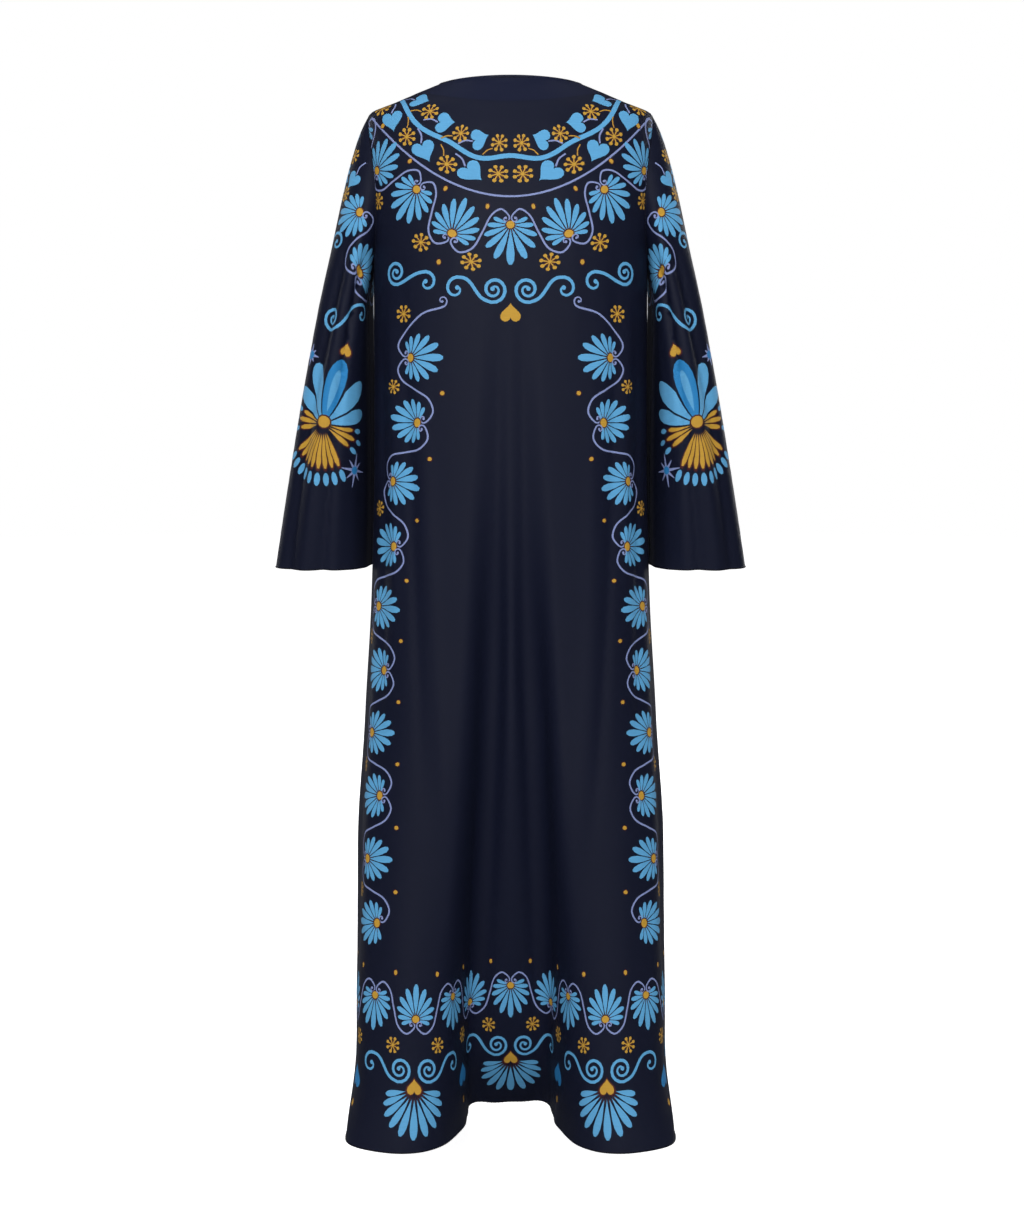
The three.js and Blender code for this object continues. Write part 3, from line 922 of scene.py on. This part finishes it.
def hemBand(piece, fanSpacing=74, groupSpacing=225):
    # a frieze, volutes, long fans and hearts above the hem, set out from the centre line
    bend, total = alongLine(piece["flat"][-1])
    reach = int(total / 2 // fanSpacing)
    row = frieze(-reach, reach, fanSpacing, 13, 48, 192)
    for k in range(-reach, reach + 1):
        row += placed(berries(0.85), (k + 0.5) * fanSpacing, 142) + dot((k + 0.5) * fanSpacing, 240)
    for k in range(-2, 3):
        group = placed(hemFan(), 0, 0, 180) + placed(volutePair(4.2), 0, 26)
        between = [heartShape("deepBlue", 32)] + dot(0, -36, 4.2)
        row += placed(group, k * groupSpacing, 84) + placed(between, (k + 0.5) * groupSpacing, 84)
    return bend(placed(row, total / 2, 0))


def sleevePrint(piece):
    # leaves, berries and fans down both sides of the armhole, a volute pair on the sleeve's middle, and one
    # lotus spray on the back and one on the front
    middle = piece["flat"].shape[1] // 2
    bend, _ = alongLine(piece["flat"][0, middle + 3 :])
    row = placed(berries(0.85), 52, -30) + placed(ivyLeaf(25), 84, -24, 215)
    row += placed(berries(0.85), 104, -52) + placed(frieze(0, 2, 68, 9, 42), 142, -34)
    volutes = scroll("sky", (0, 0, 17, 1.7, 1, -55), (54, 8, 14, 0.95, 1, 112), 4.2, bend=1.1)
    shapes = bend(row) + placed(volutes, 94, -270, 12)
    shapes += mirrored(shapes)
    shapes += placed(ivyLeaf(25), 0, -24, 180) + placed(anthemion(48), 0, -78, 180)
    shapes += placed(volutePair(5), 0, -174, 0, 0.8) + placed([heartShape("gold", 24)], 0, -204)
    for side in (1, -1):
        x, y = spotAt(piece, side * 1.5, 0.70)
        shapes += placed(lotusSpray(), x, y, -4 * side, 0.92)
        shapes += placed(star(), x + side * 62, y - 52) + placed(star(15), x - side * 56, y + 84)
    return shapes


def spotAt(piece, a, b):
    # the place in the flat cut of one point of the surface
    away = (piece["a"] - a) ** 2 + ((piece["b"] - b) * 3) ** 2
    row, column = np.unravel_index(np.argmin(away), away.shape)
    return piece["flat"][row, column]


def paintedFacingBand(piece):
    # the print's ground is painted a little lighter where the neck facing lies behind it: painted light in
    # place of the light that comes through the doubled cloth
    row = np.interp(cut["facingLevel"], piece["levels"], np.arange(len(piece["levels"])))
    above = int(row)
    lower = piece["flat"][above] + (piece["flat"][above + 1] - piece["flat"][above]) * (row - above)
    return [("paintedLighterGround", counterclockwise(np.concatenate([piece["flat"][0], lower[::-1]])))]


# ---- printed cloth: the cut is meshed around its ornament, bent onto the worn form and given its thickness

# spacing of the cloth's own points in the cut, how far a point may lie off it, and how near two points
# may come before they are one
weaveGrid = {"across": 7.4, "along": 12.0, "off": 0.01, "near": 1e-4}


def outlineOf(piece, refine=3):
    # the cut's edge, counterclockwise, with the surface's coordinates
    rows, columns = piece["a"].shape
    around = ([(rows - 1, c) for c in range(columns)] + [(r, columns - 1) for r in range(rows - 2, -1, -1)]
              + [(0, c) for c in range(columns - 2, -1, -1)] + [(r, 0) for r in range(1, rows - 1)])
    r, c = np.array(around).T
    spots = np.column_stack([piece["flat"][r, c], piece["a"][r, c], piece["b"][r, c]])
    after = np.roll(spots, -1, axis=0)
    steps = [spots + (after - spots) * k / refine for k in range(refine)]
    return np.stack(steps, axis=1).reshape(-1, 4)


def fillPoints(piece):
    low, high = piece["flat"].reshape(-1, 2).min(axis=0), piece["flat"].reshape(-1, 2).max(axis=0)
    spots = []
    for row, y in enumerate(np.arange(low[1], high[1], weaveGrid["along"])):
        shift = weaveGrid["across"] / 2 * (row % 2)
        spots += [(x + shift, y) for x in np.arange(low[0], high[0], weaveGrid["across"])]
    spots = np.array(spots)
    away = np.array([hit[3] for hit in (piece["tree"].find_nearest((x, y, 0)) for x, y in spots)])
    return spots[away < weaveGrid["off"]]


def meshAround(piece, shapes):
    # points and triangles of the cut that keep to every outline, the shape that each triangle lies in, and
    # the surface's coordinates at the points
    outline, inside = outlineOf(piece), fillPoints(piece)
    spots = [outline[:, :2], inside] + [points for _, points in shapes]
    starts = np.cumsum([len(points) for points in spots])[1:]
    faces = [list(range(len(outline)))]
    faces += [list(range(start, start + len(points))) for start, (_, points) in zip(starts, shapes)]
    made, _, tris, fromVerts, _, fromFaces = delaunay_2d_cdt(
        [Vector(p) for p in np.concatenate(spots)], [], faces, 1, weaveGrid["near"], True)
    kept = [(tri, max(ids)) for tri, ids in zip(tris, fromFaces) if 0 in ids]
    corners = np.array([tri for tri, _ in kept])
    used = np.unique(corners)
    renumber = np.full(len(made), -1)
    renumber[used] = np.arange(len(used))
    flat = np.array(made)[used]
    a, b = coordinatesAt(piece, flat)
    for old, ids in enumerate(fromVerts):
        if ids and min(ids) < len(outline) and renumber[old] >= 0:
            a[renumber[old]], b[renumber[old]] = outline[min(ids), 2:]
    return flat, renumber[corners], [shape for _, shape in kept], a, b


def printedCloth(piece, shapes, thick, behind):
    # a closed shell of cloth: an outer layer in its dyes, an inner one, and a rim between their edges
    flat, corners, shapeOf, a, b = meshAround(piece, shapes)
    place, normal = piece["place"](a, b), piece["normal"](a, b)
    count = len(flat)
    outer, inner = place - normal * behind, place - normal * (behind + thick)
    p, q, r = (outer[corners[:, k]] for k in range(3))
    if np.sum(np.cross(q - p, r - p) * normal[corners[:, 0]]) < 0:
        corners = corners[:, ::-1]
    # the rim starts at every edge that only one triangle has
    pairs = np.concatenate([corners[:, [0, 1]], corners[:, [1, 2]], corners[:, [2, 0]]])
    keys = pairs.min(axis=1) * count + pairs.max(axis=1)
    _, first, times = np.unique(keys, return_index=True, return_counts=True)
    rim = pairs[first[times == 1]]
    rimFaces = np.concatenate([np.column_stack([rim[:, 1], rim[:, 0], rim[:, 0] + count]),
                               np.column_stack([rim[:, 1], rim[:, 0] + count, rim[:, 1] + count])])
    triangles = np.concatenate([corners, corners[:, ::-1] + count, rimFaces])
    colours = {name: np.array(linearColour(code)) for name, code in dyes.items()}
    ground = colours["ground"]
    front = np.array([ground] + [colours[dye] for dye, _ in shapes])[shapeOf]
    back = front * cut["dyeThrough"] + ground * (1 - cut["dyeThrough"])
    faceColours = np.concatenate([front, back, np.tile(ground, (len(rimFaces), 1))])
    mesh = meshOf(piece["name"], np.concatenate([outer, inner]), triangles.tolist())
    dyeLayer = mesh.color_attributes.new("dye", "FLOAT_COLOR", "CORNER")
    dyeLayer.data.foreach_set("color", np.repeat(faceColours, 3, axis=0).ravel())
    uv = np.concatenate([flat, flat])[triangles.ravel()] * mm
    mesh.uv_layers.new(name="cloth").data.foreach_set("uv", uv.ravel())
    mesh.polygons.foreach_set("use_smooth", np.ones(len(triangles), bool))
    mesh.normals_split_custom_set_from_vertices(np.concatenate([normal, -normal]).tolist())
    print(f"{piece['name']}: {len(triangles)} triangles")
    return addObject(piece["name"], mesh)


# ---- materials

def slubTone(tree, slub, low, high):
    return addNode(tree, "ShaderNodeMapRange", links={
        "Value": slub.outputs["Fac"], "From Min": 0.3, "From Max": 0.7, "To Min": low, "To Max": high})


def printedSilk():
    # silk satin-backed crepe, printed: dark ground with a low, broad sheen, a little light coming through
    material, tree = newMaterial("printed silk")
    dye = addNode(tree, "ShaderNodeVertexColor", {"layer_name": "dye"})
    uv = addNode(tree, "ShaderNodeUVMap", {"uv_map": "cloth"})
    # slub: threads a little thicker here and there, some 30 mm long and 1.5 mm wide
    slubScale = addNode(tree, "ShaderNodeMapping", links={"Vector": uv, "Scale": (33, 650, 1)})
    slub = addNode(tree, "ShaderNodeTexNoise", links={
        "Vector": slubScale, "Scale": 1.0, "Detail": 2.0, "Roughness": 0.6})
    shade = scaled(tree, dye, slubTone(tree, slub, 0.94, 1.06))
    # weave: threads drawn 0.7 mm apart, coarser than the real 0.1 mm so that they show close to
    weaveScale = addNode(tree, "ShaderNodeMapping", links={"Vector": uv, "Scale": (1430, 1430, 1)})
    weave = addNode(tree, "ShaderNodeTexChecker", links={"Vector": weaveScale, "Scale": 1.0})
    height = addNode(tree, "ShaderNodeMath", {"operation": "MULTIPLY_ADD"}, {
        0: slub.outputs["Fac"], 1: 2.0, 2: weave.outputs["Fac"]})
    bump = addNode(tree, "ShaderNodeBump", links={"Strength": 0.12, "Distance": 0.00008, "Height": height})
    silk = addNode(tree, "ShaderNodeBsdfPrincipled", links={
        "Base Color": shade, "Roughness": slubTone(tree, slub, 0.46, 0.54), "Normal": bump,
        "Specular IOR Level": 0.10, "Sheen Weight": 0.03, "Sheen Roughness": 0.4,
        "Sheen Tint": linearColour("#7C84B4")})
    # a quarter of the light goes through, in the dye's colour washed out by the thin cloth
    washed = addNode(tree, "ShaderNodeMix", {"data_type": "RGBA"}, {
        "Factor": 0.7, 6: dye, 7: linearColour("#DCDFEC")})
    through = addNode(tree, "ShaderNodeBsdfTranslucent", links={"Color": washed.outputs[2]})
    sheer = addNode(tree, "ShaderNodeMixShader", links={0: 0.24, 1: silk, 2: through})
    addNode(tree, "ShaderNodeOutputMaterial", links={"Surface": sheer})
    return material


def plainSilk(name, code, roughness):
    # plain silk, for what is sewn onto the print
    material, tree = newMaterial(name)
    place = addNode(tree, "ShaderNodeTexCoord").outputs["Object"]
    # uneven dye, patches some 8 mm across
    patches = addNode(tree, "ShaderNodeTexNoise", links={"Vector": place, "Scale": 125.0, "Detail": 3.0})
    dark, light = linearColour(code), tuple(min(1, c * 1.3) for c in linearColour(code))
    colour = addNode(tree, "ShaderNodeMix", {"data_type": "RGBA"}, {
        "Factor": patches.outputs["Fac"], 6: dark, 7: light})
    # threads drawn 0.7 mm apart, coarser than they are
    threads = addNode(tree, "ShaderNodeTexNoise", links={"Vector": place, "Scale": 1430.0, "Detail": 1.0})
    bump = addNode(tree, "ShaderNodeBump", links={
        "Strength": 0.3, "Distance": 0.0001, "Height": threads.outputs["Fac"]})
    silk = addNode(tree, "ShaderNodeBsdfPrincipled", links={
        "Base Color": colour.outputs[2], "Roughness": roughness, "Normal": bump, "Specular IOR Level": 0.15})
    addNode(tree, "ShaderNodeOutputMaterial", links={"Surface": silk})
    return material


silkPrint = printedSilk()
silkFacing = plainSilk("plain silk facing", "#282A3E", 0.55)
silkRoll = plainSilk("rolled silk hem", "#0E0F1A", 0.5)
silkThread = plainSilk("spun silk thread", "#1A1C2C", 0.45)


# ---- panels, sleeves and facings

def panelNormal(sideName, place):
    side = sides[sideName]

    def normal(angle, level):
        steep = -side["sign"] * surfaceNormal(place, angle, level, "panel")
        onSeam = smoothStep(np.abs(angle), quarter - 0.02, quarter)[..., None]
        return unit(steep * (1 - onSeam) + formNormal(side, angle, level) * onSeam)

    return normal


def panelCut(sideName):
    place = panelPlace(sideName)
    shoulder, underarm, hem = cut["shoulderDrop"], cut["underarmDrop"], cut["hemDrop"]
    beside = shoulder + (underarm - shoulder) * (1 - np.cos(np.linspace(0, math.pi, 25))) / 2
    levels = np.concatenate([np.linspace(0, shoulder, 11)[:-1], beside[:-1], np.linspace(underarm, hem, 79)])
    across = np.linspace(-1, 1, 73)
    angle = across[None, :] * endAngle(levels)[:, None]
    level = np.repeat(levels[:, None], len(across), axis=1)
    piece = makeCut(f"{sideName}Panel", place, panelNormal(sideName, place), angle, level)
    piece["levels"] = levels
    return piece


def sleeveCut():
    turn, share = np.meshgrid(np.linspace(-math.pi, math.pi, 73), np.linspace(0, 1, 45) ** 1.1)
    return makeCut("rightSleeve", sleevePlace, sleeveNormal, turn, share, even=False)


def facingCut(sideName):
    side = sides[sideName]
    angle, level = np.meshgrid(np.linspace(-quarter, quarter, 81), np.linspace(0, cut["facingLevel"], 7))
    return makeCut(f"{sideName}NeckFacing", lambda a, b: form(side, a, b),
                   lambda a, b: formNormal(side, a, b), angle, level)


cuts = {name: panelCut(name) for name in ("back", "front")}
cuts["sleeve"] = sleeveCut()
facings = {name: facingCut(name) for name in ("back", "front")}
print("cuts are flat")


def panelPrint(sideName):
    piece = cuts[sideName]
    middle, half = yokePrint(yoke[sideName])
    half = half + sideBorder(piece, yoke[sideName]["borderTop"])
    # with a band of painted light round the neck, lighter where the facing lies behind
    return paintedFacingBand(piece) + middle + half + mirrored(half) + hemBand(piece)


sleeveShapes = sleevePrint(cuts["sleeve"])
leftCut = dict(cuts["sleeve"], name="leftSleeve",
               place=lambda t, s: sleevePlace(t, s) * [-1, 1, 1],
               normal=lambda t, s: sleeveNormal(t, s) * [-1, 1, 1])
printed = {
    "back_panel": (cuts["back"], panelPrint("back")),
    "front_panel": (cuts["front"], panelPrint("front")),
    "right_sleeve": (cuts["sleeve"], sleeveShapes),
    "left_sleeve": (leftCut, sleeveShapes),
}
pieces = {}  # the cloth and the cut of each piece
for node, (piece, shapes) in printed.items():
    pieces[node] = printedCloth(piece, shapes, cut["clothThick"], 0), piece
for name, piece in facings.items():
    pieces[f"{name}_neck_facing"] = printedCloth(piece, [], cut["facingThick"], cut["facingBehind"]), piece
for node, (cloth, _) in pieces.items():
    cloth.data.materials.append(silkFacing if node.endswith("facing") else silkPrint)
print("cloth is on its form")


# ---- rolled hems, seams and their stitches

trims = {
    "rolledEdge": {"Roll Radius": 1.1, "Roll Step": 4.0, "Stitch Spacing": 5.5, "Stitch Length": 3.0,
                   "Stitch Radius": 0.34, "Lean": 0.9, "Seed": 7},
    "seam": {"Roll Radius": 0.75, "Roll Step": 7.0, "Stitch Spacing": 3.4, "Stitch Length": 2.2,
             "Stitch Radius": 0.26, "Lean": 0.0, "Seed": 11},
}


def stitchedRollTree():
    # a thin roll of cloth along each line, with stitches on its outer side
    tree = bpy.data.node_groups.new("stitched roll", "GeometryNodeTree")
    sockets = tree.interface
    sockets.new_socket("Geometry", in_out="INPUT", socket_type="NodeSocketGeometry")
    for name, value in trims["seam"].items():
        kind = "NodeSocketInt" if name == "Seed" else "NodeSocketFloat"
        sockets.new_socket(name, in_out="INPUT", socket_type=kind).default_value = value
    sockets.new_socket("Geometry", in_out="OUTPUT", socket_type="NodeSocketGeometry")
    given = addNode(tree, "NodeGroupInput").outputs
    lines = addNode(tree, "GeometryNodeMeshToCurve", links={0: given["Geometry"]})
    path = addNode(tree, "GeometryNodeResampleCurve", {"mode": "LENGTH"}, {
        "Curve": lines, "Length": given["Roll Step"]})
    rim = addNode(tree, "GeometryNodeCurvePrimitiveCircle", links={
        "Resolution": 7, "Radius": given["Roll Radius"]})
    roll = addNode(tree, "GeometryNodeCurveToMesh", links={
        "Curve": path, "Profile Curve": rim, "Fill Caps": True})
    rolled = addNode(tree, "GeometryNodeSetMaterial", links={"Geometry": roll, "Material": silkRoll})
    spots = addNode(tree, "GeometryNodeResampleCurve", {"mode": "LENGTH"}, {
        "Curve": lines, "Length": given["Stitch Spacing"]})
    outward = addNode(tree, "GeometryNodeInputNamedAttribute", {"data_type": "FLOAT_VECTOR"}, {
        "Name": "outward"})
    ahead = addNode(tree, "GeometryNodeInputTangent")
    lift = scaled(tree, outward, given["Roll Radius"])
    raised = addNode(tree, "GeometryNodeSetPosition", links={"Geometry": spots, "Offset": lift})
    aside = addNode(tree, "ShaderNodeVectorMath", {"operation": "CROSS_PRODUCT"}, {0: outward, 1: ahead})
    uneven = addNode(tree, "FunctionNodeRandomValue", {"data_type": "FLOAT"}, {
        2: 0.75, 3: 1.25, "Seed": given["Seed"]}).outputs[1]
    leaning = scaled(tree, aside, multiplied(tree, given["Lean"], uneven))
    course = addNode(tree, "ShaderNodeVectorMath", {"operation": "ADD"}, {0: ahead, 1: leaning})
    aimed = addNode(tree, "FunctionNodeAlignRotationToVector", {"axis": "Z"}, {"Vector": course})
    half = multiplied(tree, given["Stitch Length"], 0.5)
    size = addNode(tree, "ShaderNodeCombineXYZ", links={
        0: given["Stitch Radius"], 1: given["Stitch Radius"], 2: multiplied(tree, half, uneven)})
    thread = addNode(tree, "GeometryNodeMeshIcoSphere", links={"Radius": 1.0, "Subdivisions": 1})
    stitches = addNode(tree, "GeometryNodeInstanceOnPoints", links={
        "Points": raised, "Instance": thread, "Rotation": aimed, "Scale": size})
    solid = addNode(tree, "GeometryNodeRealizeInstances", links={0: stitches})
    sewn = addNode(tree, "GeometryNodeSetMaterial", links={"Geometry": solid, "Material": silkThread})
    joined = addNode(tree, "GeometryNodeJoinGeometry")
    for part in (sewn, rolled):
        tree.links.new(part.outputs[0], joined.inputs[0])
    addNode(tree, "NodeGroupOutput", links={0: joined})
    return tree


rollTree = stitchedRollTree()


def makeTrim(name, kind, lines):
    # lines are pairs of points on the cloth and its outward directions there
    points = np.concatenate([spots for spots, _ in lines])
    outward = np.concatenate([normals for _, normals in lines])
    edges, start = [], 0
    for spots, _ in lines:
        edges += [(start + i, start + i + 1) for i in range(len(spots) - 1)]
        start += len(spots)
    mesh = meshOf(name, points, [], edges)
    mesh.attributes.new("outward", "FLOAT_VECTOR", "POINT").data.foreach_set("vector", outward.ravel())
    trim = addObject(name, mesh)
    sewing = trim.modifiers.new("sewing", "NODES")
    sewing.node_group = rollTree
    for socket in rollTree.interface.items_tree:
        if socket.in_out == "INPUT" and socket.name in trims[kind]:
            value = trims[kind][socket.name]
            isLength = socket.name not in ("Lean", "Seed")
            sewing[socket.identifier] = value * mm if isLength else value
    made = bpy.data.meshes.new_from_object(trim.evaluated_get(bpy.context.evaluated_depsgraph_get()))
    trim.modifiers.remove(sewing)
    trim.data = made
    made.polygons.foreach_set("use_smooth", np.ones(len(made.polygons), bool))
    return trim


def lineOn(piece, a, b, sink, side=1):
    # a line on the cloth, sunk a little into it; side is -1 for the left sleeve
    a, b = np.broadcast_arrays(np.asarray(a, float), np.asarray(b, float))
    normal = piece["normal"](a, b)
    return (piece["place"](a, b) - normal * sink) * [side, 1, 1], normal * [side, 1, 1]


def makeTrims():
    across = np.linspace(-quarter, quarter, 260)
    around = np.linspace(-math.pi, math.pi, 160)
    along = np.linspace(0.004, 0.998, 150)
    down = np.linspace(cut["underarmDrop"] + 2, cut["hemDrop"] - 1, 240)
    shoulder = np.linspace(1, cut["shoulderDrop"] - 1, 14)
    hemSink, seamSink = 0.4, 0.5
    made = {}

    def sew(name, kind, lines, node):
        made[name] = makeTrim(name, kind, lines), node

    for name in ("back", "front"):
        for edge, level in (("Hem", cut["hemDrop"] - 1.0), ("NeckEdge", 1.0)):
            sew(name + edge, "rolledEdge", [lineOn(cuts[name], across, level, hemSink)], f"{name}_panel")
    sleeve = cuts["sleeve"]
    for name, side in (("right", 1), ("left", -1)):
        cuffHem = lineOn(sleeve, around, 0.9985, hemSink, side)
        head = lineOn(sleeve, around, 0.001, seamSink, side)
        underarm = lineOn(sleeve, math.pi, along, seamSink, side)
        sew(f"{name}CuffHem", "rolledEdge", [cuffHem], f"{name}_sleeve")
        sew(f"{name}SleeveSeams", "seam", [head, underarm], f"{name}_sleeve")
    seams = [lineOn(cuts["back"], side * quarter, drops, seamSink)
             for drops in (down, shoulder) for side in (1, -1)]
    sew("panelSeams", "seam", seams, "back_panel")
    return made


sewn = makeTrims()
print("hems, seams and stitches are sewn")

for node, (cloth, _) in pieces.items():
    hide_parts(node)
    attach(cloth, "root")
for trim, slot in sewn.values():
    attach(trim, "root")
